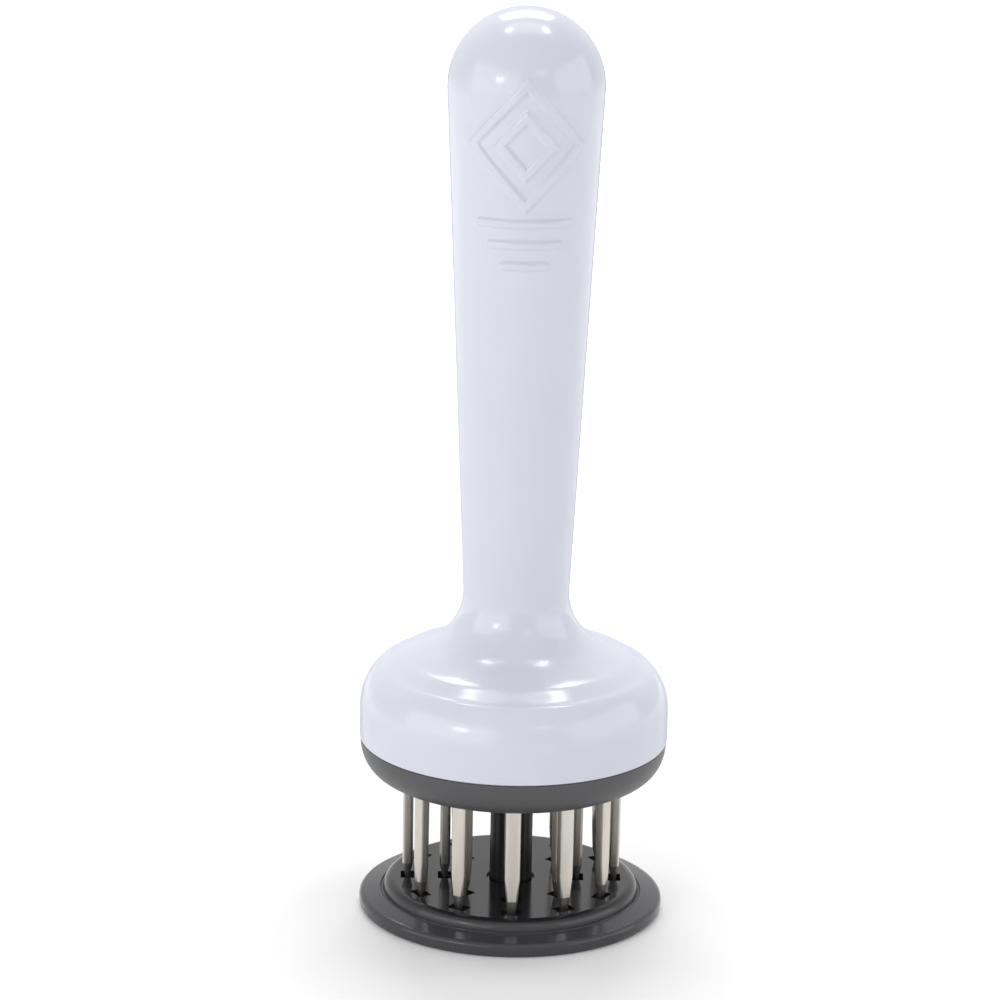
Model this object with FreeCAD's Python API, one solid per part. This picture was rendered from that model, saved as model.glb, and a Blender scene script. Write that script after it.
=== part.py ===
import FreeCAD, Part
import math
import os

# Round blade meat tenderizer, in millimetres.
# The origin is the centre of the guard disc's underside, +Z runs up the handle, and -Y is the front.
# A sprung guard disc slides up a central post between fixed blades when the handle is pressed down.

# ---------------------------------------------------------------- driving sizes: guard disc
flange_width = 4.8
guard_lower_round = 1.2
guard_upper_round = 1.0
guard_rim_height = 3.2
flange_inner_height = 3.8
groove_spacing = 5.45
groove_round = 0.35
plateau_round = 2.0
plateau_height = 6.25
slot_side_clearance = 0.45
slot_face_clearance = 0.35

# ---------------------------------------------------------------- driving sizes: handle and bell
total_height = 194.0
dome_radius = 16.2
neck_radius = 11.15
neck_height = 70.8
flare_radius = 12.8
ledge_normal = math.radians(66.0)
shoulder_radius = 11.2
bell_radius = 32.6
bell_wall = 2.4
bore_radius = 7.6
guide_tube_wall = 1.8
relief_bore_radius = 5.2
relief_bore_top = 168.0

# ---------------------------------------------------------------- driving sizes: blade carrier
carrier_underside = 30.4
carrier_floor = 3.0
collar_step = 0.2
collar_top = 38.1
collar_inset = 5.5
collar_drop = 7.1
spigot_clearance = 0.2
spigot_wall = 2.6
spigot_height = 6.5
collar_chamfer = 0.3
seal_section_radius = 0.8
seal_groove_depth = 1.5
seal_groove_width = 1.8
seal_rise = 3.4
seal_gap = 0.04

# ---------------------------------------------------------------- driving sizes: plates over the carrier
plate_clearance = 0.3
clamp_thickness = 2.5
head_height = 3.0

# ---------------------------------------------------------------- driving sizes: blades
outer_blade_count = 12
outer_ring_inset = 10.55
inner_blade_count = 8
ring_spacing = 7.95
blade_width = 3.3
blade_thickness = 2.2
blade_edge_chamfer = 0.45
blade_head_width = 4.7
blade_seat_clearance = 0.1
tip_engagement = 1.45
bevel_length = 4.3
taper_length = 4.7
taper_end_width = 2.4
tip_width = 1.2
tip_chamfer = 0.08
edge_thickness = 0.25

# ---------------------------------------------------------------- driving sizes: post, bush and stop
post_radius = 4.5
post_foot_height = 3.4
post_chamfer = 0.5
post_socket_clearance = 0.1
socket_recess_radius = 5.15
socket_recess_depth = 0.5
bush_running_clearance = 0.05
bush_wall = 1.9
bush_seat_clearance = 0.1
bush_flange_radius = 8.6
bush_flange_thickness = 1.8
bush_foot_rise = 0.4
bush_top_height = 48.9
stop_washer_radius = 6.8
stop_washer_thickness = 1.2
guide_tube_bottom = 52.5

# ---------------------------------------------------------------- driving sizes: spring
spring_coil_radius = 5.7
spring_wire_radius = 0.6
spring_turns = 13
spring_top_height = 110.0
seat_thickness = 2.0
seat_clearance = 0.3

# ---------------------------------------------------------------- driving sizes: screws
screw_radius = 1.45
screw_thread_clearance = 0.05
screw_pass_clearance = 0.25
screw_head_radius = 2.6
screw_head_height = 1.6
screw_head_clearance = 0.3
screw_head_round = 0.35
drive_radius = 1.1
drive_depth = 0.9
drive_sides = 6
carrier_screw_count = 4
screw_ring_spacing = 4.4
carrier_screw_turn = 20.0
carrier_screw_grip = 11.0
post_screw_grip = 10.0
post_screw_recess = 0.4
boss_radius = 3.2
boss_hole_spare = 1.5

# ---------------------------------------------------------------- places that follow from the sizes
full_turn = 360.0
up = FreeCAD.Vector(0, 0, 1)
outer_ring_radius = bell_radius - outer_ring_inset
inner_ring_radius = outer_ring_radius - ring_spacing
carrier_screw_ring = outer_ring_radius - screw_ring_spacing
groove_radius = outer_ring_radius + groove_spacing
guard_radius = groove_radius + flange_width
plateau_radius = groove_radius - groove_round
collar_radius = bell_radius - collar_step
carrier_floor_top = carrier_underside + carrier_floor
spacer_top = carrier_floor_top + head_height
clamp_top = spacer_top + clamp_thickness
bell_inner_radius = bell_radius - bell_wall
spigot_radius = bell_inner_radius - spigot_clearance
spigot_inner_radius = spigot_radius - spigot_wall
plate_radius = spigot_inner_radius - plate_clearance
bush_bore_radius = post_radius + bush_running_clearance
bush_radius = bush_bore_radius + bush_wall
bush_seat_radius = bush_radius + bush_seat_clearance
tip_height = plateau_height - tip_engagement
bevel_start = tip_height + bevel_length
taper_start = bevel_start + taper_length
screw_hole_radius = screw_radius + screw_thread_clearance
screw_pass_radius = screw_radius + screw_pass_clearance
head_recess_radius = screw_head_radius + screw_head_clearance
stop_washer_top = bush_top_height + stop_washer_thickness
seat_bottom = spring_top_height
seat_top = seat_bottom + seat_thickness
post_screw_seat = post_screw_recess + screw_head_height
boss_hole_top = clamp_top + carrier_screw_grip + boss_hole_spare
dome_centre_height = total_height - dome_radius


def point(radius, height):
    """A point of a half profile, in the XZ plane."""
    return FreeCAD.Vector(radius, 0, height)


def line(start, end):
    return Part.LineSegment(start, end).toShape()


def arc(centre, radius, start_angle, end_angle):
    """An arc in the XZ plane, from one angle to another, in radians from +X towards +Z."""
    def at(angle):
        return point(centre[0] + radius * math.cos(angle), centre[1] + radius * math.sin(angle))
    return Part.Arc(at(start_angle), at((start_angle + end_angle) / 2), at(end_angle)).toShape()


def revolved(edges):
    """The solid that a closed half profile makes when it is turned about the Z axis."""
    face = Part.Face(Part.Wire(edges))
    return face.revolve(FreeCAD.Vector(0, 0, 0), up, full_turn)


def turned(corners):
    """A revolved solid with straight edges between (radius, height) corners."""
    points = [point(*corner) for corner in corners]
    edges = [line(a, b) for a, b in zip(points, points[1:] + points[:1])]
    return revolved(edges)


def cylinder(radius, bottom, top, x=0.0, y=0.0):
    return Part.makeCylinder(radius, top - bottom, FreeCAD.Vector(x, y, bottom), up)


def tube(outer_radius, inner_radius, bottom, top):
    return cylinder(outer_radius, bottom, top).cut(cylinder(inner_radius, bottom, top))


def azimuth_place(shape, angle):
    """Turn a shape that was built at the front (-Y) by an angle in degrees about the Z axis."""
    placed = shape.copy()
    placed.rotate(FreeCAD.Vector(0, 0, 0), up, angle)
    return placed


def front_box(ring_radius, width, depth, bottom, top):
    """A box that is centred on a ring at the front, width along X and depth along the radius."""
    corner = FreeCAD.Vector(-width / 2, -ring_radius - depth / 2, bottom)
    return Part.makeBox(width, depth, top - bottom, corner)


def blade_places():
    """Every blade as (name, ring radius, azimuth in degrees)."""
    places = []
    for index in range(outer_blade_count):
        angle = full_turn / outer_blade_count * index
        places.append(("outer_blade_%02d" % (index + 1), outer_ring_radius, angle))
    for index in range(inner_blade_count):
        angle = full_turn / inner_blade_count * index
        places.append(("inner_blade_%02d" % (index + 1), inner_ring_radius, angle))
    return places


def blade_holes(width, depth, bottom, top):
    """One box for each blade, used to cut slots and pockets."""
    boxes = []
    for _, ring_radius, angle in blade_places():
        boxes.append(azimuth_place(front_box(ring_radius, width, depth, bottom, top), angle))
    return Part.Compound(boxes)


def carrier_screw_centres():
    centres = []
    for index in range(carrier_screw_count):
        angle = math.radians(carrier_screw_turn + full_turn / carrier_screw_count * index)
        centres.append((carrier_screw_ring * math.sin(angle), -carrier_screw_ring * math.cos(angle)))
    return centres


def screw_columns(radius, bottom, top):
    """One cylinder on the axis of each carrier screw."""
    return Part.Compound([cylinder(radius, bottom, top, x, y) for x, y in carrier_screw_centres()])


def taper_angle():
    """Lean of the handle's side, which is tangent to the dome and starts at the neck."""
    rise = dome_centre_height - neck_height
    reach = math.hypot(neck_radius, rise)
    return math.atan2(rise, neck_radius) - math.acos(dome_radius / reach)


def bell_curve():
    """Centres and ends of the flare, ledge and shoulder that join the neck to the bell's wall."""
    lean = taper_angle()
    flare_centre = (neck_radius + flare_radius * math.cos(lean), neck_height - flare_radius * math.sin(lean))
    cosine = math.cos(ledge_normal)
    sine = math.sin(ledge_normal)
    ledge_start = (flare_centre[0] - flare_radius * cosine, flare_centre[1] - flare_radius * sine)
    ledge_end_radius = bell_radius - shoulder_radius * (1 - cosine)
    ledge_length = (ledge_end_radius - ledge_start[0]) / sine
    ledge_end = (ledge_end_radius, ledge_start[1] - ledge_length * cosine)
    shoulder_centre = (bell_radius - shoulder_radius, ledge_end[1] - shoulder_radius * sine)
    return flare_centre, shoulder_centre


def handle_outside():
    """Dome, tapered handle, flare, ledge, shoulder and bell wall as one solid of revolution."""
    lean = taper_angle()
    flare_centre, shoulder_centre = bell_curve()
    dome = arc((0, dome_centre_height), dome_radius, math.pi / 2, -lean)
    flare = arc(flare_centre, flare_radius, math.pi - lean, math.pi + ledge_normal)
    shoulder = arc(shoulder_centre, shoulder_radius, ledge_normal, 0)
    side = line(dome.Vertexes[-1].Point, flare.Vertexes[0].Point)
    ledge = line(flare.Vertexes[-1].Point, shoulder.Vertexes[0].Point)
    rim = point(bell_radius, collar_top)
    wall = line(shoulder.Vertexes[-1].Point, rim)
    base = line(rim, point(0, collar_top))
    axis = line(point(0, collar_top), point(0, total_height))
    return revolved([dome, side, flare, ledge, shoulder, wall, base, axis])


def handle_cavity():
    """The bell's hollow, the spring's bore and the core relief above it."""
    flare_centre, shoulder_centre = bell_curve()
    shoulder = arc(shoulder_centre, shoulder_radius - bell_wall, 0, ledge_normal)
    flare = arc(flare_centre, flare_radius + bell_wall, math.pi + ledge_normal, math.pi)
    wall_foot = point(bell_inner_radius, collar_top)
    bore_foot = point(bore_radius, flare_centre[1])
    bore_head = point(bore_radius, seat_top)
    relief_foot = point(relief_bore_radius, seat_top)
    relief_head = point(relief_bore_radius, relief_bore_top - relief_bore_radius)
    crown = arc((0, relief_bore_top - relief_bore_radius), relief_bore_radius, 0, math.pi / 2)
    return revolved([
        line(point(0, collar_top), wall_foot),
        line(wall_foot, shoulder.Vertexes[0].Point),
        shoulder,
        line(shoulder.Vertexes[-1].Point, flare.Vertexes[0].Point),
        flare,
        line(flare.Vertexes[-1].Point, bore_foot),
        line(bore_foot, bore_head),
        line(bore_head, relief_foot),
        line(relief_foot, relief_head),
        crown,
        line(crown.Vertexes[-1].Point, point(0, collar_top)),
    ])


def handle_shell():
    """One moulding: handle and bell, with the spring's guide tube and the screw bosses inside."""
    flare_centre = bell_curve()[0]
    guide_tube = tube(bore_radius + guide_tube_wall, bore_radius, guide_tube_bottom, flare_centre[1])
    bosses = screw_columns(boss_radius, clamp_top, neck_height)
    hollow = handle_cavity().cut(guide_tube).cut(bosses)
    holes = screw_columns(screw_hole_radius, clamp_top, boss_hole_top)
    return handle_outside().cut(hollow).cut(holes)


def blade_carrier():
    """Grey collar with a slotted floor, a rounded lower edge and a spigot inside the bell."""
    centre = point(collar_radius - collar_inset, carrier_underside + collar_drop)
    lowest = point(collar_radius - collar_inset, carrier_underside)
    widest = point(collar_radius, carrier_underside + collar_drop)
    ellipse = Part.Ellipse(lowest, widest, centre)
    lower_round = Part.ArcOfEllipse(ellipse, 0, math.pi / 2).toShape()
    spigot_top = collar_top + spigot_height
    corners = [
        point(collar_radius, collar_top - collar_chamfer),
        point(collar_radius - collar_chamfer, collar_top),
        point(spigot_radius, collar_top),
        point(spigot_radius, spigot_top),
        point(spigot_inner_radius, spigot_top),
        point(spigot_inner_radius, carrier_floor_top),
        point(0, carrier_floor_top),
        point(0, carrier_underside),
    ]
    edges = [lower_round, line(lower_round.Vertexes[-1].Point, corners[0])]
    edges += [line(a, b) for a, b in zip(corners, corners[1:])]
    edges.append(line(corners[-1], lower_round.Vertexes[0].Point))
    carrier = revolved(edges)
    seal_low = collar_top + seal_rise - seal_groove_width / 2
    groove = tube(bell_radius, spigot_radius - seal_groove_depth, seal_low, seal_low + seal_groove_width)
    slot_width = blade_width + 2 * blade_seat_clearance
    slot_depth = blade_thickness + 2 * blade_seat_clearance
    carrier = carrier.cut(groove)
    carrier = carrier.cut(blade_holes(slot_width, slot_depth, carrier_underside, carrier_floor_top))
    carrier = carrier.cut(cylinder(bush_seat_radius, carrier_underside, carrier_floor_top))
    carrier = carrier.cut(screw_columns(screw_pass_radius, carrier_underside, carrier_floor_top))
    recess_top = carrier_underside + screw_head_height
    return carrier.cut(screw_columns(head_recess_radius, carrier_underside, recess_top))


def collar_seal():
    """Ring seal in the spigot's groove, just short of the bell's wall and the groove's floor."""
    ring_radius = (bell_inner_radius - seal_gap) - seal_section_radius
    height = collar_top + seal_rise
    return Part.makeTorus(ring_radius, seal_section_radius, FreeCAD.Vector(0, 0, height), up)


def plate(bottom, top):
    """A round plate with the bush's seat and the screws' holes."""
    disc = cylinder(plate_radius, bottom, top).cut(cylinder(bush_seat_radius, bottom, top))
    return disc.cut(screw_columns(screw_pass_radius, bottom, top))


def blade_spacer():
    """Moulded plate whose pockets hold the blade heads."""
    pocket_width = blade_head_width + 2 * blade_seat_clearance
    pocket_depth = blade_thickness + 2 * blade_seat_clearance
    pockets = blade_holes(pocket_width, pocket_depth, carrier_floor_top, spacer_top)
    return plate(carrier_floor_top, spacer_top).cut(pockets)


def clamp_plate():
    """Steel plate that holds the blade heads down."""
    return plate(spacer_top, clamp_top)


def blade_section(ring_radius, width, thickness, chamfer, height):
    """The eight corners of a front blade's cross-section at a height, in order."""
    half_width = width / 2
    half_depth = thickness / 2
    corners = [
        (half_width, half_depth - chamfer),
        (half_width - chamfer, half_depth),
        (chamfer - half_width, half_depth),
        (-half_width, half_depth - chamfer),
        (-half_width, chamfer - half_depth),
        (chamfer - half_width, -half_depth),
        (half_width - chamfer, -half_depth),
        (half_width, chamfer - half_depth),
    ]
    return [FreeCAD.Vector(x, y - ring_radius, height) for x, y in corners]


def polygon_face(corners):
    return Part.Face(Part.makePolygon(corners + corners[:1]))


def blade(ring_radius, angle):
    """Flat blade with a head, broken long edges, a narrowing end and an edge ground on both faces."""
    sections = [
        blade_section(ring_radius, tip_width, edge_thickness, tip_chamfer, tip_height),
        blade_section(ring_radius, taper_end_width, blade_thickness, blade_edge_chamfer, bevel_start),
        blade_section(ring_radius, blade_width, blade_thickness, blade_edge_chamfer, taper_start),
        blade_section(ring_radius, blade_width, blade_thickness, blade_edge_chamfer, spacer_top),
    ]
    faces = [polygon_face(sections[0]), polygon_face(sections[-1])]
    for low, high in zip(sections, sections[1:]):
        for corner in range(len(low)):
            faces.append(polygon_face([low[corner - 1], low[corner], high[corner], high[corner - 1]]))
    body = Part.Solid(Part.Shell(faces))
    head = front_box(ring_radius, blade_head_width, blade_thickness, carrier_floor_top, spacer_top)
    return azimuth_place(body.fuse(head).removeSplitter(), angle)


def guard_disc():
    """Slotted disc: rounded rim, rising flange, groove, and a plateau with a rounded edge."""
    lower_centre = (guard_radius - guard_lower_round, guard_lower_round)
    upper_centre = (guard_radius - guard_upper_round, guard_rim_height - guard_upper_round)
    lower = arc(lower_centre, guard_lower_round, -math.pi / 2, 0)
    upper = arc(upper_centre, guard_upper_round, 0, math.pi / 2)
    groove_outside = point(groove_radius + groove_round, flange_inner_height)
    groove_floor = point(groove_radius, flange_inner_height - groove_round)
    groove_inside = point(groove_radius - groove_round, flange_inner_height)
    groove = Part.Arc(groove_outside, groove_floor, groove_inside).toShape()
    edge_centre = (plateau_radius - plateau_round, plateau_height - plateau_round)
    edge = arc(edge_centre, plateau_round, 0, math.pi / 2)
    disc = revolved([
        line(point(0, 0), lower.Vertexes[0].Point),
        lower,
        line(lower.Vertexes[-1].Point, upper.Vertexes[0].Point),
        upper,
        line(upper.Vertexes[-1].Point, groove_outside),
        groove,
        line(groove_inside, edge.Vertexes[0].Point),
        edge,
        line(edge.Vertexes[-1].Point, point(0, plateau_height)),
        line(point(0, plateau_height), point(0, 0)),
    ])
    slot_width = blade_width + 2 * slot_side_clearance
    slot_depth = blade_thickness + 2 * slot_face_clearance
    disc = disc.cut(blade_holes(slot_width, slot_depth, 0, plateau_height))
    socket_radius = post_radius + post_socket_clearance
    disc = disc.cut(cylinder(socket_radius, post_foot_height, plateau_height))
    disc = disc.cut(cylinder(socket_recess_radius, plateau_height - socket_recess_depth, plateau_height))
    disc = disc.cut(cylinder(screw_pass_radius, 0, post_foot_height))
    return disc.cut(cylinder(head_recess_radius, 0, post_screw_seat))


def guide_post():
    """Plain post with chamfered ends and a screw hole in each end."""
    top = bush_top_height
    post = turned([
        (0, post_foot_height),
        (post_radius - post_chamfer, post_foot_height),
        (post_radius, post_foot_height + post_chamfer),
        (post_radius, top - post_chamfer),
        (post_radius - post_chamfer, top),
        (0, top),
    ])
    low_hole_top = post_screw_seat + post_screw_grip + boss_hole_spare
    post = post.cut(cylinder(screw_hole_radius, post_foot_height, low_hole_top))
    return post.cut(cylinder(screw_hole_radius, top - post_screw_grip - boss_hole_spare, top))


def screw(head_bottom, grip):
    """Pan-head screw that points up: rounded head with a hexagonal drive, and a plain shank."""
    head_top = head_bottom + screw_head_height
    centre = (screw_head_radius - screw_head_round, head_bottom + screw_head_round)
    corner = arc(centre, screw_head_round, -math.pi / 2, 0)
    body = revolved([
        line(point(0, head_bottom), corner.Vertexes[0].Point),
        corner,
        line(corner.Vertexes[-1].Point, point(screw_head_radius, head_top)),
        line(point(screw_head_radius, head_top), point(screw_radius, head_top)),
        line(point(screw_radius, head_top), point(screw_radius, head_top + grip)),
        line(point(screw_radius, head_top + grip), point(0, head_top + grip)),
        line(point(0, head_top + grip), point(0, head_bottom)),
    ])
    corners = []
    for index in range(drive_sides):
        angle = 2 * math.pi / drive_sides * index
        corners.append(FreeCAD.Vector(drive_radius * math.cos(angle), drive_radius * math.sin(angle), head_bottom))
    drive = Part.Face(Part.makePolygon(corners + corners[:1])).extrude(up * drive_depth)
    return body.cut(drive)


def carrier_screws():
    """The screws that hold carrier, spacer and clamp plate to the bell's bosses."""
    grip = clamp_top - carrier_underside - screw_head_height + carrier_screw_grip
    master = screw(carrier_underside, grip)
    screws = []
    for x, y in carrier_screw_centres():
        placed = master.copy()
        placed.translate(FreeCAD.Vector(x, y, 0))
        screws.append(placed)
    return Part.Compound(screws)


def post_screw():
    """Screw from below that holds the guard disc to its post."""
    return screw(post_screw_recess, post_screw_grip)


def stop_screw():
    """Screw from above that holds the stop washer to the post."""
    upright = screw(0, post_screw_grip)
    upright.rotate(FreeCAD.Vector(0, 0, 0), FreeCAD.Vector(1, 0, 0), full_turn / 2)
    upright.translate(FreeCAD.Vector(0, 0, stop_washer_top + screw_head_height))
    return upright


def stop_washer():
    """Washer on the post that meets the bush's top, which stops the guard at its lowest."""
    return tube(stop_washer_radius, screw_pass_radius, bush_top_height, stop_washer_top)


def guide_bush():
    """Sleeve with a flange on the clamp plate, which the post slides in."""
    foot = carrier_underside + bush_foot_rise
    flange_top = clamp_top + bush_flange_thickness
    return turned([
        (bush_bore_radius, foot),
        (bush_radius, foot),
        (bush_radius, clamp_top),
        (bush_flange_radius, clamp_top),
        (bush_flange_radius, flange_top),
        (bush_radius, flange_top),
        (bush_radius, bush_top_height),
        (bush_bore_radius, bush_top_height),
    ])


def return_spring():
    """Compression spring between the stop washer and its seat, with both ends ground flat."""
    length = spring_top_height - stop_washer_top
    pitch = length / spring_turns
    helix = Part.makeHelix(pitch, length + pitch, spring_coil_radius)
    helix.translate(FreeCAD.Vector(0, 0, stop_washer_top - pitch / 2))
    start = FreeCAD.Vector(spring_coil_radius, 0, stop_washer_top - pitch / 2)
    circle = Part.Wire(Part.makeCircle(spring_wire_radius, start, FreeCAD.Vector(0, 1, 0)))
    coil = Part.Wire(helix.Edges).makePipeShell([circle], True, True)
    reach = spring_coil_radius + 2 * spring_wire_radius
    return coil.common(cylinder(reach, stop_washer_top, spring_top_height))


def spring_seat():
    """Washer against the bore's shoulder, which takes the spring's upper end."""
    return tube(bore_radius - seat_clearance, relief_bore_radius - seat_clearance, seat_bottom, seat_top)


def export(name, shape):
    shape.exportStep(os.path.join("parts", name + ".step"))


os.makedirs("parts", exist_ok=True)
export("handle_shell", handle_shell())
export("blade_carrier", blade_carrier())
export("collar_seal", collar_seal())
export("blade_spacer", blade_spacer())
export("clamp_plate", clamp_plate())
export("carrier_screws", carrier_screws())
export("guide_bush", guide_bush())
export("guard_disc", guard_disc())
export("guide_post", guide_post())
export("post_screw", post_screw())
export("stop_washer", stop_washer())
export("stop_screw", stop_screw())
export("return_spring", return_spring())
export("spring_seat", spring_seat())
for blade_name, blade_ring, blade_angle in blade_places():
    export(blade_name, blade(blade_ring, blade_angle))
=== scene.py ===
import math

import bpy
from mathutils import Euler, Matrix, Vector


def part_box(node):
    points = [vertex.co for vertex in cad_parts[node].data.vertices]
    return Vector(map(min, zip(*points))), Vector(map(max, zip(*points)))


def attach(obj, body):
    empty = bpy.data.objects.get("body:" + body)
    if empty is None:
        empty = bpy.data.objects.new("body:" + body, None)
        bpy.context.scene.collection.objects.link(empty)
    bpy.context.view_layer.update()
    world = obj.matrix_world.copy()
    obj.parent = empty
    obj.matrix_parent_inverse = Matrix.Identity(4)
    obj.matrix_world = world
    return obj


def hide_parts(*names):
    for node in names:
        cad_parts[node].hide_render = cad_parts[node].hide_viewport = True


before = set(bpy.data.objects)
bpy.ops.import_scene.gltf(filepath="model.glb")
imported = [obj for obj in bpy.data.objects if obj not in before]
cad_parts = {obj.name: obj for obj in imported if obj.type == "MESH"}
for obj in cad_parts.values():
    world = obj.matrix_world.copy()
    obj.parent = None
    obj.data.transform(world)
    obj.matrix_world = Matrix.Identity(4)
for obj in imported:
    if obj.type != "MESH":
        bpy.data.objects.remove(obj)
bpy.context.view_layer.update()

bl_info = {
    "name": "Blade tenderizer",
    "version": (1, 0, 0),
    "blender": (4, 5, 0),
    "location": "3D View > Sidebar > Tenderizer",
    "description": "Dresses a blade tenderizer: moulded handle, collar, slotted guard, blades and stage",
    "category": "Object",
}

MM = 0.001
SHELL_LOW, SHELL_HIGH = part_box("handle_shell")
OUTER_BLADES = sorted(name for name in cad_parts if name.startswith("outer_blade"))
INNER_BLADES = sorted(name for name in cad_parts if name.startswith("inner_blade"))
PI = math.pi


# ------------------------------------------------------------------ settings

class HandleSettings(bpy.types.PropertyGroup):
    """Sizes and colour of the white moulding"""
    dome_radius: bpy.props.FloatProperty(
        name="Dome radius", description="Radius of the handle's round end",
        default=16.2 * MM, unit="LENGTH")
    neck_radius: bpy.props.FloatProperty(
        name="Neck radius", description="Radius where the handle is thinnest",
        default=11.15 * MM, unit="LENGTH")
    neck_height: bpy.props.FloatProperty(
        name="Neck height", description="Height of the thinnest place",
        default=70.8 * MM, unit="LENGTH")
    flare_radius: bpy.props.FloatProperty(
        name="Flare radius", description="Radius of the hollow curve from neck to bell",
        default=12.8 * MM, unit="LENGTH")
    inner_normal: bpy.props.FloatProperty(
        name="Inner slope", description="Angle from level of the normal inside the ledge",
        default=math.radians(66.0), subtype="ANGLE")
    wall: bpy.props.FloatProperty(
        name="Bell wall", description="Thickness of the bell's wall",
        default=2.4 * MM, unit="LENGTH")
    bore_radius: bpy.props.FloatProperty(
        name="Bore radius", description="Radius of the spring's bore",
        default=7.6 * MM, unit="LENGTH")
    relief_height: bpy.props.FloatProperty(
        name="Motif height", description="How far the moulded motif stands out",
        default=0.60 * MM, unit="LENGTH")
    steps: bpy.props.IntProperty(
        name="Steps round", description="Faces in one turn of the handle", default=160)
    colour: bpy.props.FloatVectorProperty(
        name="Colour", description="Colour of the white plastic", subtype="COLOR", size=4,
        default=(0.70, 0.715, 0.812, 1.0))


class GuardSettings(bpy.types.PropertyGroup):
    """Colours of the dark and grey plastic"""
    colour: bpy.props.FloatVectorProperty(
        name="Guard colour", description="Colour of the slotted guard", subtype="COLOR", size=4,
        default=(0.066, 0.063, 0.071, 1.0))
    collar_colour: bpy.props.FloatVectorProperty(
        name="Collar colour", description="Colour of the grey collar", subtype="COLOR", size=4,
        default=(0.074, 0.074, 0.078, 1.0))
    post_colour: bpy.props.FloatVectorProperty(
        name="Post colour", description="Colour of the guide post", subtype="COLOR", size=4,
        default=(0.012, 0.012, 0.013, 1.0))


class BladeSettings(bpy.types.PropertyGroup):
    """Finish of the blades, with painted shade on their narrow sides"""
    edge_round: bpy.props.FloatProperty(
        name="Edge round", description="Rounding of the blades' long edges",
        default=0.2 * MM, unit="LENGTH")
    colour: bpy.props.FloatVectorProperty(
        name="Steel colour", description="Colour of the blades' polished flats", subtype="COLOR", size=4,
        default=(0.62, 0.590, 0.538, 1.0))
    ground_colour: bpy.props.FloatVectorProperty(
        name="Ground colour", description="Colour of the ground bevels", subtype="COLOR", size=4,
        default=(0.20, 0.195, 0.19, 1.0))
    # The narrow sides' darker colour is painted shade and painted dark reflection, standing for the darker
    # surroundings and neighbours they reflect.
    painted_shade_edge_colour: bpy.props.FloatVectorProperty(
        name="Edge colour with painted shade", description="Colour of the narrow sides", subtype="COLOR", size=4,
        default=(0.34, 0.324, 0.296, 1.0))


class StageSettings(bpy.types.PropertyGroup):
    """Camera, lamps and floor"""
    focal_length: bpy.props.FloatProperty(
        name="Focal length", description="Camera focal length in millimetres", default=161.18)
    distance: bpy.props.FloatProperty(
        name="Distance", description="Level distance of the camera from the axis",
        default=900.0 * MM, unit="LENGTH")
    turn: bpy.props.FloatProperty(
        name="Turn", description="How far round to the right of the front the camera stands",
        default=math.radians(-1.0), subtype="ANGLE")
    height: bpy.props.FloatProperty(
        name="Camera height", description="Height of the camera over the floor",
        default=346.57 * MM, unit="LENGTH")
    pitch: bpy.props.FloatProperty(
        name="Pitch", description="How far the camera looks down",
        default=math.radians(15.9206), subtype="ANGLE")
    yaw: bpy.props.FloatProperty(
        name="Yaw", description="How far the camera looks to the left",
        default=math.radians(0.2417), subtype="ANGLE")
    roll: bpy.props.FloatProperty(
        name="Roll", description="How far the camera leans",
        default=math.radians(1.114), subtype="ANGLE")
    world_strength: bpy.props.FloatProperty(
        name="World strength", description="Strength of the even light from all round", default=0.34)


# ------------------------------------------------------------------ modelling helpers

def start_at(name, place):
    """A new piece that is one vertex, left selected in edit mode."""
    bpy.ops.object.select_all(action="DESELECT")
    bpy.ops.mesh.primitive_plane_add(size=MM)
    piece = bpy.context.object
    piece.name = name
    piece.data.name = name
    bpy.ops.object.mode_set(mode="EDIT")
    bpy.ops.mesh.select_all(action="SELECT")
    bpy.ops.mesh.merge(type="CENTER")
    bpy.ops.transform.translate(value=place)
    return piece


def run_to(start, end, steps=1):
    """Extrudes the profile's last vertex in a straight run."""
    move = (Vector(end) - Vector(start)) / steps
    for _ in range(steps):
        bpy.ops.mesh.extrude_region_move(TRANSFORM_OT_translate={"value": move})


def run_round(centre, angle, steps):
    """Spins the profile's last vertex about a centre; a positive angle turns from +Z towards -X."""
    bpy.ops.mesh.spin(steps=steps, angle=angle, center=centre, axis=(0, 1, 0))


def side(radius, height):
    """A point of a half profile, which is drawn on the -X side."""
    return (-radius, 0.0, height)


def lathe(steps):
    """Turns the drawn profile about the Z axis into a closed, outward-facing skin."""
    bpy.ops.mesh.select_all(action="SELECT")
    bpy.ops.mesh.spin(steps=steps, angle=2 * PI, center=(0, 0, 0), axis=(0, 0, 1))
    bpy.ops.mesh.select_all(action="SELECT")
    bpy.ops.mesh.remove_doubles(threshold=0.002 * MM)
    bpy.ops.mesh.normals_make_consistent(inside=False)
    bpy.ops.object.mode_set(mode="OBJECT")


def dress(mesh, *materials):
    """Gives a mesh these materials in place of the ones it has."""
    mesh.materials.clear()
    for material in materials:
        mesh.materials.append(material)


def finish_piece(piece, body, nodes=()):
    """Gives a finished piece its body and hides the nodes it stands for."""
    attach(piece, body)
    if nodes:
        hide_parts(*nodes)


def smooth(piece, degrees):
    bpy.ops.object.select_all(action="DESELECT")
    piece.select_set(True)
    bpy.context.view_layer.objects.active = piece
    bpy.ops.object.shade_smooth_by_angle(angle=math.radians(degrees))


def paint(node, material):
    """Gives a CAD node a material in place of its plain one."""
    dress(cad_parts[node].data, material)


# ------------------------------------------------------------------ material helpers

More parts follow.
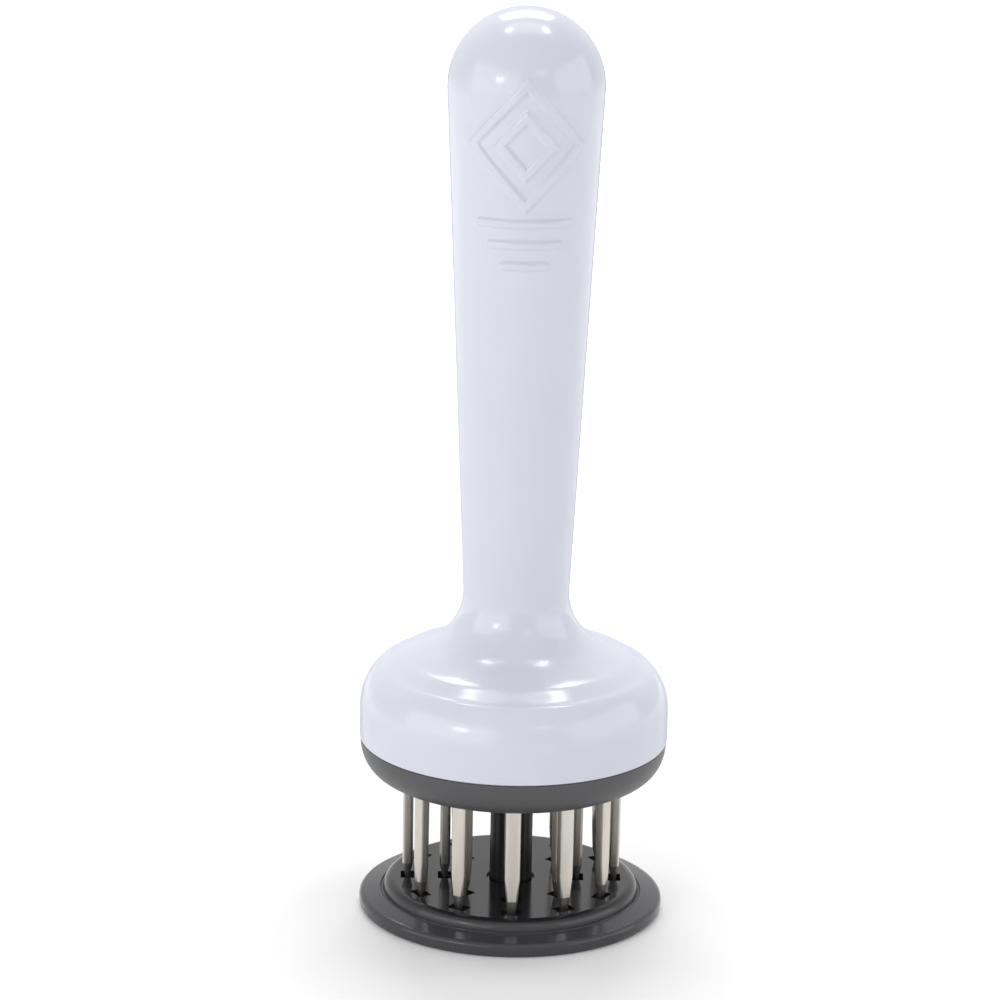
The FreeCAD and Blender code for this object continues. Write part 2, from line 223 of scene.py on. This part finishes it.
def new_group(name, inputs, outputs):
    """An empty shader node group; inputs are (name, default) and outputs are (name, socket type)."""
    group = bpy.data.node_groups.new(name, "ShaderNodeTree")
    group.interface.new_socket("Vector", in_out="INPUT", socket_type="NodeSocketVector")
    for label, default in inputs:
        socket = group.interface.new_socket(label, in_out="INPUT", socket_type="NodeSocketFloat")
        socket.default_value = default
    for label, kind in outputs:
        group.interface.new_socket(label, in_out="OUTPUT", socket_type=kind)
    entry = group.nodes.new("NodeGroupInput")
    leave = group.nodes.new("NodeGroupOutput")
    return group, entry, leave


def add_noise(tree, vector, scale, detail=3.0, roughness=0.5):
    noise = tree.nodes.new("ShaderNodeTexNoise")
    noise.inputs["Scale"].default_value = scale
    noise.inputs["Detail"].default_value = detail
    noise.inputs["Roughness"].default_value = roughness
    tree.links.new(vector, noise.inputs["Vector"])
    return noise.outputs["Fac"]


def add_range(tree, value, low, high, to_low, to_high):
    """Maps a value from one range to another, clamped."""
    node = tree.nodes.new("ShaderNodeMapRange")
    node.inputs["From Min"].default_value = low
    node.inputs["From Max"].default_value = high
    node.inputs["To Min"].default_value = to_low
    node.inputs["To Max"].default_value = to_high
    tree.links.new(value, node.inputs["Value"])
    return node.outputs["Result"]


def add_math(tree, operation, first, second):
    node = tree.nodes.new("ShaderNodeMath")
    node.operation = operation
    for socket, value in zip(node.inputs, (first, second)):
        if isinstance(value, (int, float)):
            socket.default_value = value
        else:
            tree.links.new(value, socket)
    return node.outputs[0]


def stretch(tree, vector, scale):
    node = tree.nodes.new("ShaderNodeMapping")
    node.inputs["Scale"].default_value = scale
    tree.links.new(vector, node.inputs["Vector"])
    return node.outputs["Vector"]


def moulded_group():
    """Moulded plastic: slow colour drift, fine skin texture and sparse handling marks."""
    if "Moulded skin" in bpy.data.node_groups:
        return bpy.data.node_groups["Moulded skin"]
    group, entry, leave = new_group(
        "Moulded skin", [("Grain size", 900.0)],
        [("Drift", "NodeSocketFloat"), ("Marks", "NodeSocketFloat"), ("Height", "NodeSocketFloat")])
    vector = entry.outputs["Vector"]
    drift = add_noise(group, vector, 38.0, 2.0)
    group.links.new(drift, leave.inputs["Drift"])
    across = stretch(group, vector, (260.0, 260.0, 2600.0))
    marks = add_range(group, add_noise(group, across, 1.0, 4.0, 0.65), 0.60, 0.78, 0.0, 1.0)
    group.links.new(marks, leave.inputs["Marks"])
    grain = group.nodes.new("ShaderNodeTexNoise")
    grain.inputs["Detail"].default_value = 2.0
    group.links.new(vector, grain.inputs["Vector"])
    group.links.new(entry.outputs["Grain size"], grain.inputs["Scale"])
    waves = add_noise(group, vector, 120.0, 1.0)
    height = add_math(group, "ADD", add_math(group, "MULTIPLY", grain.outputs["Fac"], 0.35), waves)
    group.links.new(height, leave.inputs["Height"])
    return group


def steel_group():
    """Drawn steel: fine lines along the blade, with a slower change between them."""
    if "Drawn steel" in bpy.data.node_groups:
        return bpy.data.node_groups["Drawn steel"]
    group, entry, leave = new_group(
        "Drawn steel", [("Line size", 1.0)],
        [("Lines", "NodeSocketFloat"), ("Stain", "NodeSocketFloat")])
    vector = entry.outputs["Vector"]
    fine = stretch(group, vector, (5200.0, 5200.0, 90.0))
    lines = group.nodes.new("ShaderNodeTexNoise")
    lines.inputs["Detail"].default_value = 4.0
    group.links.new(fine, lines.inputs["Vector"])
    group.links.new(entry.outputs["Line size"], lines.inputs["Scale"])
    group.links.new(lines.outputs["Fac"], leave.inputs["Lines"])
    stain = add_noise(group, stretch(group, vector, (300.0, 300.0, 90.0)), 1.0, 3.0)
    group.links.new(stain, leave.inputs["Stain"])
    return group


def place_group(tree, group):
    node = tree.nodes.new("ShaderNodeGroup")
    node.node_tree = group
    coordinates = tree.nodes.new("ShaderNodeTexCoord")
    tree.links.new(coordinates.outputs["Object"], node.inputs["Vector"])
    return node


def two_tone(tree, factor, first, second):
    mix = tree.nodes.new("ShaderNodeMix")
    mix.data_type = "RGBA"
    mix.inputs[6].default_value = first
    mix.inputs[7].default_value = second
    tree.links.new(factor, mix.inputs[0])
    return mix.outputs[2]


def scaled(colour, factor):
    return (colour[0] * factor, colour[1] * factor, colour[2] * factor, 1.0)


def fresh_material(name):
    material = bpy.data.materials.new(name)
    material.use_nodes = True
    return material, material.node_tree, material.node_tree.nodes["Principled BSDF"]


def add_bump(tree, height, distance, shader):
    bump = tree.nodes.new("ShaderNodeBump")
    bump.inputs["Distance"].default_value = distance
    bump.inputs["Strength"].default_value = 1.0
    tree.links.new(height, bump.inputs["Height"])
    tree.links.new(bump.outputs["Normal"], shader.inputs["Normal"])


def plastic(name, colour, roughness, drift, bump, shine=0.5, grain=900.0, marks=0.08, fading=False):
    """A moulded plastic with the shared skin effect; a fading gloss weakens at grazing angles."""
    material, tree, shader = fresh_material(name)
    skin = place_group(tree, moulded_group())
    skin.inputs["Grain size"].default_value = grain
    tone = add_range(tree, skin.outputs["Drift"], 0.3, 0.7, 0.0, 1.0)
    colour_out = two_tone(tree, tone, scaled(colour, 1.0 - drift), scaled(colour, 1.0 + drift))
    shader.inputs["Specular IOR Level"].default_value = shine
    if fading:
        turned = tree.nodes.new("ShaderNodeLayerWeight")
        turned.inputs["Blend"].default_value = 0.5
        gloss = add_range(tree, turned.outputs["Facing"], 0.55, 0.82, shine, 0.0)
        tree.links.new(gloss, shader.inputs["Specular IOR Level"])
    tree.links.new(colour_out, shader.inputs["Base Color"])
    rough = add_range(tree, skin.outputs["Drift"], 0.3, 0.7, roughness * 0.92, roughness * 1.08)
    marked = add_math(tree, "MULTIPLY", skin.outputs["Marks"], marks)
    tree.links.new(add_math(tree, "ADD", rough, marked), shader.inputs["Roughness"])
    add_bump(tree, skin.outputs["Height"], bump, shader)
    return material


def paint_shade_above(material, height, factor):
    """Darkens a material's colour above a height: painted shade for a face that lies in shade."""
    tree = material.node_tree
    base = tree.nodes["Principled BSDF"].inputs["Base Color"]
    colour_out = base.links[0].from_socket
    place = tree.nodes.new("ShaderNodeTexCoord")
    parts = tree.nodes.new("ShaderNodeSeparateXYZ")
    tree.links.new(place.outputs["Object"], parts.inputs[0])
    shade = add_range(tree, parts.outputs["Z"], height - 0.3 * MM, height + 0.3 * MM, 1.0, factor)
    darker = tree.nodes.new("ShaderNodeVectorMath")
    darker.operation = "SCALE"
    tree.links.new(colour_out, darker.inputs[0])
    tree.links.new(shade, darker.inputs["Scale"])
    tree.links.new(darker.outputs[0], base)


def steel(name, colour, roughness, line_depth=0.004 * MM):
    """A drawn or ground steel whose lines run along Z."""
    material, tree, shader = fresh_material(name)
    drawn = place_group(tree, steel_group())
    tone = add_range(tree, drawn.outputs["Stain"], 0.3, 0.7, 0.0, 1.0)
    stained = two_tone(tree, tone, scaled(colour, 0.93), scaled(colour, 1.04))
    tree.links.new(stained, shader.inputs["Base Color"])
    shader.inputs["Metallic"].default_value = 1.0
    rough = add_range(tree, drawn.outputs["Lines"], 0.3, 0.7, roughness * 0.8, roughness * 1.25)
    tree.links.new(rough, shader.inputs["Roughness"])
    add_bump(tree, drawn.outputs["Lines"], line_depth, shader)
    return material


# ------------------------------------------------------------------ the handle

# Angles from level of the normals along the bell's top, from the flare to the shoulder.
# The top has two soft crests, where the normal stands steepest before it turns down.
LEDGE_NORMALS = (
    64.6, 64.8, 64.9, 65.0, 65.1, 65.2, 65.3, 65.4, 65.6, 65.8, 66.0, 66.3,
    66.7, 67.3, 68.0, 69.0, 70.0, 70.4, 69.4, 66.4, 61.7, 58.5, 57.1, 56.5,
    56.2, 56.3, 56.7, 57.7, 59.7, 63.9, 68.4, 69.9, 64.0, 52.0, 45.7, 43.4)
LEDGE_END = 29.4 * MM

# The moulded motif in millimetres: the lozenges' middle height and their half widths and
# heights, each bar's height and half length, and half the width of their lines.
MOTIF_MIDDLE = 168.2
LOZENGES = ((11.5, 12.5), (5.4, 6.0))
BARS = ((152.0, 9.5), (147.6, 7.0), (143.2, 4.5))
LOZENGE_LINE = 0.95
BAR_LINE = 0.85
# The heights between which the handle's faces are divided for the motif.
MOTIF_FIELD = (140.5 * MM, 182.5 * MM)


def handle_lean(sizes):
    """Lean of the handle's side, which is tangent to the dome and starts at the neck."""
    rise = SHELL_HIGH.z - sizes.dome_radius - sizes.neck_height
    reach = math.hypot(sizes.neck_radius, rise)
    return math.atan2(rise, sizes.neck_radius) - math.acos(sizes.dome_radius / reach)


def outside_radius(sizes, height):
    """Radius of the dome and the tapered handle at a height."""
    lean = handle_lean(sizes)
    centre = SHELL_HIGH.z - sizes.dome_radius
    tangent = centre - sizes.dome_radius * math.sin(lean)
    if height > tangent:
        return math.sqrt(max(sizes.dome_radius ** 2 - (height - centre) ** 2, 0.0))
    return sizes.neck_radius + (height - sizes.neck_height) * math.tan(lean)


def ledge_profile(flare_centre, flare):
    """Points of the bell's top from the flare to the shoulder, from the normals along it."""
    first = math.radians(LEDGE_NORMALS[0])
    radius = flare_centre[0] - flare * math.cos(first)
    height = flare_centre[1] - flare * math.sin(first)
    points = [(radius, height)]
    step = (LEDGE_END - radius) / (len(LEDGE_NORMALS) - 1)
    for before, after in zip(LEDGE_NORMALS, LEDGE_NORMALS[1:]):
        radius += step
        height -= step / math.tan(math.radians((before + after) / 2))
        points.append((radius, height))
    return points


def bar(across, up, half_length, half_width):
    """Distance in millimetres inside a round-ended level bar; negative is outside."""
    return half_width - math.hypot(max(abs(across) - half_length, 0.0), up)


def lozenge_line(across, up, half_wide, half_high, half_width):
    """Distance inside a line that runs round a lozenge."""
    slope = math.hypot(half_wide, half_high)
    inside = half_wide * half_high / slope * (1 - abs(across) / half_wide - abs(up) / half_high)
    return half_width - abs(inside)


def motif(across, height):
    """Height from 0 to 1 of the moulded motif: nested lozenges over three bars, in millimetres."""
    lines = [lozenge_line(across, height - MOTIF_MIDDLE, *size, LOZENGE_LINE) for size in LOZENGES]
    lines += [bar(across, height - middle, length, BAR_LINE) for middle, length in BARS]
    depth = max(lines)
    blend = min(max((depth + 0.35) / 0.75, 0.0), 1.0)
    return blend * blend * (3 - 2 * blend)


def refine_motif_field(piece, sizes):
    """Divides the faces under the motif, puts them back on the round, and raises the motif."""
    low, high = MOTIF_FIELD
    half_angle = math.radians(52)
    mesh = piece.data
    bpy.ops.object.mode_set(mode="EDIT")
    bpy.ops.mesh.select_mode(type="FACE")
    bpy.ops.mesh.select_all(action="DESELECT")
    bpy.ops.object.mode_set(mode="OBJECT")
    for face in mesh.polygons:
        centre = face.center
        outward = face.normal.x * centre.x + face.normal.y * centre.y > 0
        azimuth = abs(math.atan2(centre.x, -centre.y))
        on_skin = math.hypot(centre.x, centre.y) > outside_radius(sizes, centre.z) - 0.4 * MM
        face.select = bool(outward and on_skin and low < centre.z < high and azimuth < half_angle)
    bpy.ops.object.mode_set(mode="EDIT")
    bpy.ops.mesh.subdivide(number_cuts=2)
    bpy.ops.mesh.select_mode(type="VERT")
    bpy.ops.object.mode_set(mode="OBJECT")
    raised = piece.vertex_groups.new(name="motif")
    for vertex in mesh.vertices:
        place = vertex.co
        if not vertex.select or place.z < low - MM:
            continue
        radius = math.hypot(place.x, place.y)
        wanted = outside_radius(sizes, place.z)
        vertex.co = (place.x * wanted / radius, place.y * wanted / radius, place.z)
        across = math.atan2(place.x, -place.y) * wanted / MM
        weight = motif(across, place.z / MM)
        if weight > 0:
            raised.add([vertex.index], weight, "REPLACE")
    relief = piece.modifiers.new("motif", "DISPLACE")
    relief.vertex_group = "motif"
    relief.strength = sizes.relief_height
    relief.mid_level = 0.0
    bpy.ops.object.modifier_apply(modifier="motif")
    piece.vertex_groups.remove(piece.vertex_groups["motif"])


class TENDERIZER_OT_handle(bpy.types.Operator):
    """Turn the white handle and bell from its profile, and raise the motif on it"""
    bl_idname = "tenderizer.handle"
    bl_label = "Handle"

    def execute(self, context):
        sizes = context.scene.tenderizer_handle
        lean = handle_lean(sizes)
        top = SHELL_HIGH.z
        rim = SHELL_LOW.z
        dome = sizes.dome_radius
        bell = SHELL_HIGH.x
        flare = sizes.flare_radius
        flare_centre = (
            sizes.neck_radius + flare * math.cos(lean),
            sizes.neck_height - flare * math.sin(lean))
        ledge = ledge_profile(flare_centre, flare)
        flare_end = math.radians(LEDGE_NORMALS[0])
        turn = math.radians(LEDGE_NORMALS[-1])
        shoulder = (bell - ledge[-1][0]) / (1 - math.cos(turn))
        shoulder_centre = (bell - shoulder, ledge[-1][1] - shoulder * math.sin(turn))
        edge = 0.35 * MM
        inner = bell - sizes.wall

        skin = start_at("handle_skin", side(0, top))
        run_round(side(0, top - dome), PI / 2 + lean, 46)
        tangent = side(dome * math.cos(lean), top - dome - dome * math.sin(lean))
        field_foot_height = 140 * MM
        foot = side(outside_radius(sizes, field_foot_height), field_foot_height)
        run_to(tangent, foot, 60)
        run_to(foot, side(sizes.neck_radius, sizes.neck_height), 30)
        run_round(side(*flare_centre), -(flare_end + lean), 22)
        for start, end in zip(ledge, ledge[1:]):
            run_to(side(*start), side(*end))
        run_round(side(*shoulder_centre), turn, 20)
        run_to(side(bell, shoulder_centre[1]), side(bell, rim + edge), 4)
        run_round(side(bell - edge, rim + edge), PI / 2, 4)
        run_to(side(bell - edge, rim), side(inner, rim))
        run_to(side(inner, rim), side(inner, shoulder_centre[1]), 3)
        slope = sizes.inner_normal
        run_round(side(*shoulder_centre), -slope, 12)
        inside = shoulder - sizes.wall
        under = flare + sizes.wall
        inner_ledge = side(
            shoulder_centre[0] + inside * math.cos(slope),
            shoulder_centre[1] + inside * math.sin(slope))
        inner_flare = side(
            flare_centre[0] - under * math.cos(slope),
            flare_centre[1] - under * math.sin(slope))
        run_to(inner_ledge, inner_flare, 2)
        run_round(side(*flare_centre), slope, 12)
        flare_top = side(flare_centre[0] - flare - sizes.wall, flare_centre[1])
        bore = sizes.bore_radius
        seat_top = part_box("spring_seat")[1].z
        run_to(flare_top, side(bore, flare_centre[1]))
        run_to(side(bore, flare_centre[1]), side(bore, seat_top), 4)
        hollow = 5.2 * MM
        hollow_top = 168 * MM
        run_to(side(bore, seat_top), side(hollow, seat_top))
        run_to(side(hollow, seat_top), side(hollow, hollow_top - hollow), 4)
        run_round(side(0, hollow_top - hollow), -PI / 2, 8)
        lathe(sizes.steps)
        refine_motif_field(skin, sizes)
        smooth(skin, 35)
        dress(skin.data, plastic(
            "White gloss", sizes.colour, 0.15, 0.012, 0.0012 * MM,
            grain=1400.0, marks=0.03, fading=True))
        finish_piece(skin, "handle", ["handle_shell"])
        return {"FINISHED"}


# The guard's plateau starts at this height, and its colour is painted down to this share of the rim's, as
# painted shade under the bell and between the blades.
PLATEAU_FOOT = 5.6 * MM
PLATEAU_PAINTED_SHADE = 0.30


class TENDERIZER_OT_plastics(bpy.types.Operator):
    """Give the collar, guard, post, bush and spacer their plastics"""
    bl_idname = "tenderizer.plastics"
    bl_label = "Collar, guard and post"

    def execute(self, context):
        colours = context.scene.tenderizer_guard
        paint("blade_carrier", plastic("Grey satin", colours.collar_colour, 0.42, 0.05, 0.010 * MM))
        black = plastic("Black gloss with painted shade", colours.colour, 0.13, 0.06, 0.003 * MM, shine=0.24)
        # Painted shade: the guard's colour darkens above the plateau's foot, for the shade under the bell
        # and between the blades.
        paint_shade_above(black, PLATEAU_FOOT, PLATEAU_PAINTED_SHADE)
        paint("guard_disc", black)
        paint("guide_post", plastic("Post satin", colours.post_colour, 0.32, 0.05, 0.004 * MM, shine=0.3))
        paint("guide_bush", plastic("Bush plastic", (0.70, 0.68, 0.60, 1.0), 0.4, 0.04, 0.008 * MM))
        paint("blade_spacer", plastic("Spacer plastic", (0.20, 0.20, 0.21, 1.0), 0.5, 0.05, 0.012 * MM))
        paint("collar_seal", plastic("Seal rubber", (0.02, 0.02, 0.02, 1.0), 0.65, 0.10, 0.015 * MM))
        return {"FINISHED"}


def bevel_top(mesh):
    """Height where a blade's ground bevels end, the second lowest level of its corners."""
    return sorted({round(vertex.co.z, 6) for vertex in mesh.vertices})[1]


def round_long_edges(mesh, width):
    """Rounds the edges that run up the blade above its bevels; starts and ends in object mode."""
    foot = bevel_top(mesh) - 0.01 * MM
    for edge in mesh.edges:
        ends = [mesh.vertices[index].co.z for index in edge.vertices]
        edge.select = min(ends) > foot and abs(ends[0] - ends[1]) > 2 * MM
    bpy.ops.object.mode_set(mode="EDIT")
    bpy.ops.mesh.bevel(offset=width, segments=3, affect="EDGES", clamp_overlap=True)
    bpy.ops.object.mode_set(mode="OBJECT")


class TENDERIZER_OT_blades(bpy.types.Operator):
    """Copy every blade, merge it and round its edges, in drawn steel"""
    bl_idname = "tenderizer.blades"
    bl_label = "Blades"

    def execute(self, context):
        finish = context.scene.tenderizer_blades
        polished = steel("Blade steel", finish.colour, 0.20, 0.0015 * MM)
        ground = steel("Ground steel", finish.ground_colour, 0.42, 0.003 * MM)
        # The edge steel's darker colour is painted shade and painted dark reflection on the blades' narrow
        # sides.
        edges = steel("Edge steel with painted shade", finish.painted_shade_edge_colour, 0.40, 0.003 * MM)
        for node in OUTER_BLADES + INNER_BLADES:
            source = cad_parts[node]
            piece = bpy.data.objects.new(node + "_ground", source.data.copy())
            context.collection.objects.link(piece)
            bpy.ops.object.select_all(action="DESELECT")
            piece.select_set(True)
            context.view_layer.objects.active = piece
            bpy.ops.object.mode_set(mode="EDIT")
            bpy.ops.mesh.select_all(action="SELECT")
            bpy.ops.mesh.remove_doubles(threshold=0.001 * MM)
            bpy.ops.mesh.dissolve_limited(angle_limit=math.radians(2))
            bpy.ops.mesh.customdata_custom_splitnormals_clear()
            bpy.ops.mesh.select_all(action="DESELECT")
            bpy.ops.mesh.select_mode(type="EDGE")
            bpy.ops.object.mode_set(mode="OBJECT")
            foot = bevel_top(piece.data)
            round_long_edges(piece.data, finish.edge_round)
            dress(piece.data, polished, ground, edges)
            middle = sum((vertex.co for vertex in piece.data.vertices), Vector())
            outward = Vector((middle.x, middle.y, 0.0)).normalized()
            for face in piece.data.polygons:
                # Faces that are not broad get the edge steel, whose darker colour is painted shade.
                broad = abs(face.normal.dot(outward)) > 0.6
                if face.center.z < foot:
                    face.material_index = 1
                else:
                    face.material_index = 0 if broad else 2
            smooth(piece, 32)
            finish_piece(piece, "handle", [node])
        return {"FINISHED"}


class TENDERIZER_OT_hardware(bpy.types.Operator):
    """Give the plates, screws, washers and spring their steels"""
    bl_idname = "tenderizer.hardware"
    bl_label = "Hardware"

    def execute(self, context):
        zinc = steel("Zinc steel", (0.58, 0.59, 0.60, 1.0), 0.38)
        for node in ("clamp_plate", "stop_washer", "spring_seat"):
            paint(node, zinc)
        screw = steel("Screw steel", (0.55, 0.54, 0.53, 1.0), 0.36)
        for node in ("carrier_screws", "post_screw", "stop_screw"):
            paint(node, screw)
        paint("return_spring", steel("Spring steel", (0.50, 0.50, 0.52, 1.0), 0.20))
        return {"FINISHED"}


# ------------------------------------------------------------------ the stage

# Each lamp: name, azimuth and elevation from the bell in degrees, distance, width, height, brightness.
# Azimuth 0 is the front and 90 the right; brightness 1 is as bright as white paper.
LAMPS = (
    ("key", -52.0, 17.0, 1.3, 1.90, 0.80, 1.65),
    ("fill", 76.0, 18.0, 1.3, 1.60, 0.80, 1.35),
    ("back", 180.0, 47.0, 1.3, 0.70, 0.38, 9.4),
    ("top", 180.0, 78.0, 1.3, 0.90, 0.50, 1.8),
    ("window", -42.0, 21.0, 1.2, 0.22, 0.11, 12.0),
    ("window_right", 24.0, 34.0, 1.2, 0.30, 0.10, 3.0),
    ("spot_left", -125.2, 69.2, 1.2, 0.14, 0.13, 10.0),
    ("spot_right", 125.2, 69.2, 1.2, 0.20, 0.13, 11.0),
)
LAMP_AIM = Vector((0.0, -0.02, 0.055))


def soft_lamp(name, azimuth, elevation, distance, width, height, brightness):
    """A rectangular lamp that faces the bell from a direction, with its width level."""
    around, lift = math.radians(azimuth), math.radians(elevation)
    away = Vector((math.sin(around) * math.cos(lift), -math.cos(around) * math.cos(lift), math.sin(lift)))
    level = Vector((math.cos(around), math.sin(around), 0.0))
    upward = away.cross(level)
    data = bpy.data.lights.new(name, "AREA")
    data.shape = "RECTANGLE"
    data.size = width
    data.size_y = height
    data.energy = brightness * width * height * PI
    lamp = bpy.data.objects.new(name, data)
    bpy.context.scene.collection.objects.link(lamp)
    facing = Matrix((level, upward, away)).transposed()
    lamp.matrix_world = Matrix.Translation(LAMP_AIM + away * distance) @ facing.to_4x4()


def floor_material():
    """White floor that keeps the contact shadow and reaches white away from it."""
    material = bpy.data.materials.new("Floor")
    material.use_nodes = True
    tree = material.node_tree
    tree.nodes.clear()
    diffuse = tree.nodes.new("ShaderNodeBsdfDiffuse")
    diffuse.inputs["Color"].default_value = (0.86, 0.86, 0.86, 1.0)
    glow = tree.nodes.new("ShaderNodeEmission")
    path = tree.nodes.new("ShaderNodeLightPath")
    seen = add_math(tree, "MAXIMUM", path.outputs["Is Camera Ray"], path.outputs["Is Glossy Ray"])
    seen = add_math(tree, "MAXIMUM", seen, path.outputs["Is Transmission Ray"])
    place = tree.nodes.new("ShaderNodeTexCoord")
    away = tree.nodes.new("ShaderNodeVectorMath")
    away.operation = "LENGTH"
    tree.links.new(place.outputs["Object"], away.inputs[0])
    strength = add_range(tree, away.outputs["Value"], 0.15, 0.6, 0.14, 0.8)
    tree.links.new(add_math(tree, "MULTIPLY", seen, strength), glow.inputs["Strength"])
    both = tree.nodes.new("ShaderNodeAddShader")
    leave = tree.nodes.new("ShaderNodeOutputMaterial")
    tree.links.new(diffuse.outputs[0], both.inputs[0])
    tree.links.new(glow.outputs[0], both.inputs[1])
    tree.links.new(both.outputs[0], leave.inputs["Surface"])
    return material


class TENDERIZER_OT_stage(bpy.types.Operator):
    """Set the floor, world, lamps and camera"""
    bl_idname = "tenderizer.stage"
    bl_label = "Stage"

    def execute(self, context):
        sizes = context.scene.tenderizer_stage
        bpy.ops.object.select_all(action="DESELECT")
        bpy.ops.mesh.primitive_plane_add(size=8.0, location=(0, 0, 0))
        floor = context.object
        floor.name = "floor"
        floor.data.materials.append(floor_material())

        world = bpy.data.worlds.new("Studio")
        context.scene.world = world
        world.use_nodes = True
        tree = world.node_tree
        background = tree.nodes["Background"]
        background.inputs["Color"].default_value = (1.0, 1.0, 1.0, 1.0)
        path = tree.nodes.new("ShaderNodeLightPath")
        seen = add_math(tree, "MAXIMUM", path.outputs["Is Camera Ray"], path.outputs["Is Transmission Ray"])
        seen = add_math(tree, "MAXIMUM", seen, path.outputs["Is Glossy Ray"])
        strength = add_range(tree, seen, 0.0, 1.0, sizes.world_strength, 1.0)
        tree.links.new(strength, background.inputs["Strength"])

        for lamp in LAMPS:
            soft_lamp(*lamp)

        data = bpy.data.cameras.new("camera")
        data.lens = sizes.focal_length
        data.sensor_width = 36.0
        camera = bpy.data.objects.new("camera", data)
        context.scene.collection.objects.link(camera)
        around = Euler((0, 0, sizes.turn)).to_matrix()
        camera.location = around @ Vector((0.0, -sizes.distance, sizes.height))
        down = Euler((PI / 2 - sizes.pitch, 0, 0)).to_matrix()
        lean = Euler((0, 0, sizes.roll)).to_matrix()
        aside = Euler((0, 0, sizes.yaw)).to_matrix()
        camera.rotation_euler = (around @ aside @ down @ lean).to_euler()
        context.scene.camera = camera
        context.scene.view_settings.view_transform = "Standard"
        return {"FINISHED"}


class TENDERIZER_PT_panel(bpy.types.Panel):
    """Lists the steps that dress the tenderizer"""
    bl_idname = "TENDERIZER_PT_panel"
    bl_label = "Blade tenderizer"
    bl_space_type = "VIEW_3D"
    bl_region_type = "UI"
    bl_category = "Tenderizer"

    def draw(self, context):
        for step in STEPS:
            self.layout.operator(step.bl_idname)


SETTINGS = (
    ("tenderizer_handle", HandleSettings),
    ("tenderizer_guard", GuardSettings),
    ("tenderizer_blades", BladeSettings),
    ("tenderizer_stage", StageSettings),
)
STEPS = (
    TENDERIZER_OT_handle,
    TENDERIZER_OT_plastics,
    TENDERIZER_OT_blades,
    TENDERIZER_OT_hardware,
    TENDERIZER_OT_stage,
)


def register():
    for name, settings in SETTINGS:
        bpy.utils.register_class(settings)
        setattr(bpy.types.Scene, name, bpy.props.PointerProperty(type=settings))
    for step in STEPS:
        bpy.utils.register_class(step)
    bpy.utils.register_class(TENDERIZER_PT_panel)


def unregister():
    bpy.utils.unregister_class(TENDERIZER_PT_panel)
    for step in reversed(STEPS):
        bpy.utils.unregister_class(step)
    for name, settings in reversed(SETTINGS):
        delattr(bpy.types.Scene, name)
        bpy.utils.unregister_class(settings)


def main():
    register()
    bpy.ops.tenderizer.handle()
    bpy.ops.tenderizer.plastics()
    bpy.ops.tenderizer.blades()
    bpy.ops.tenderizer.hardware()
    bpy.ops.tenderizer.stage()


if __name__ == "__main__":
    main()
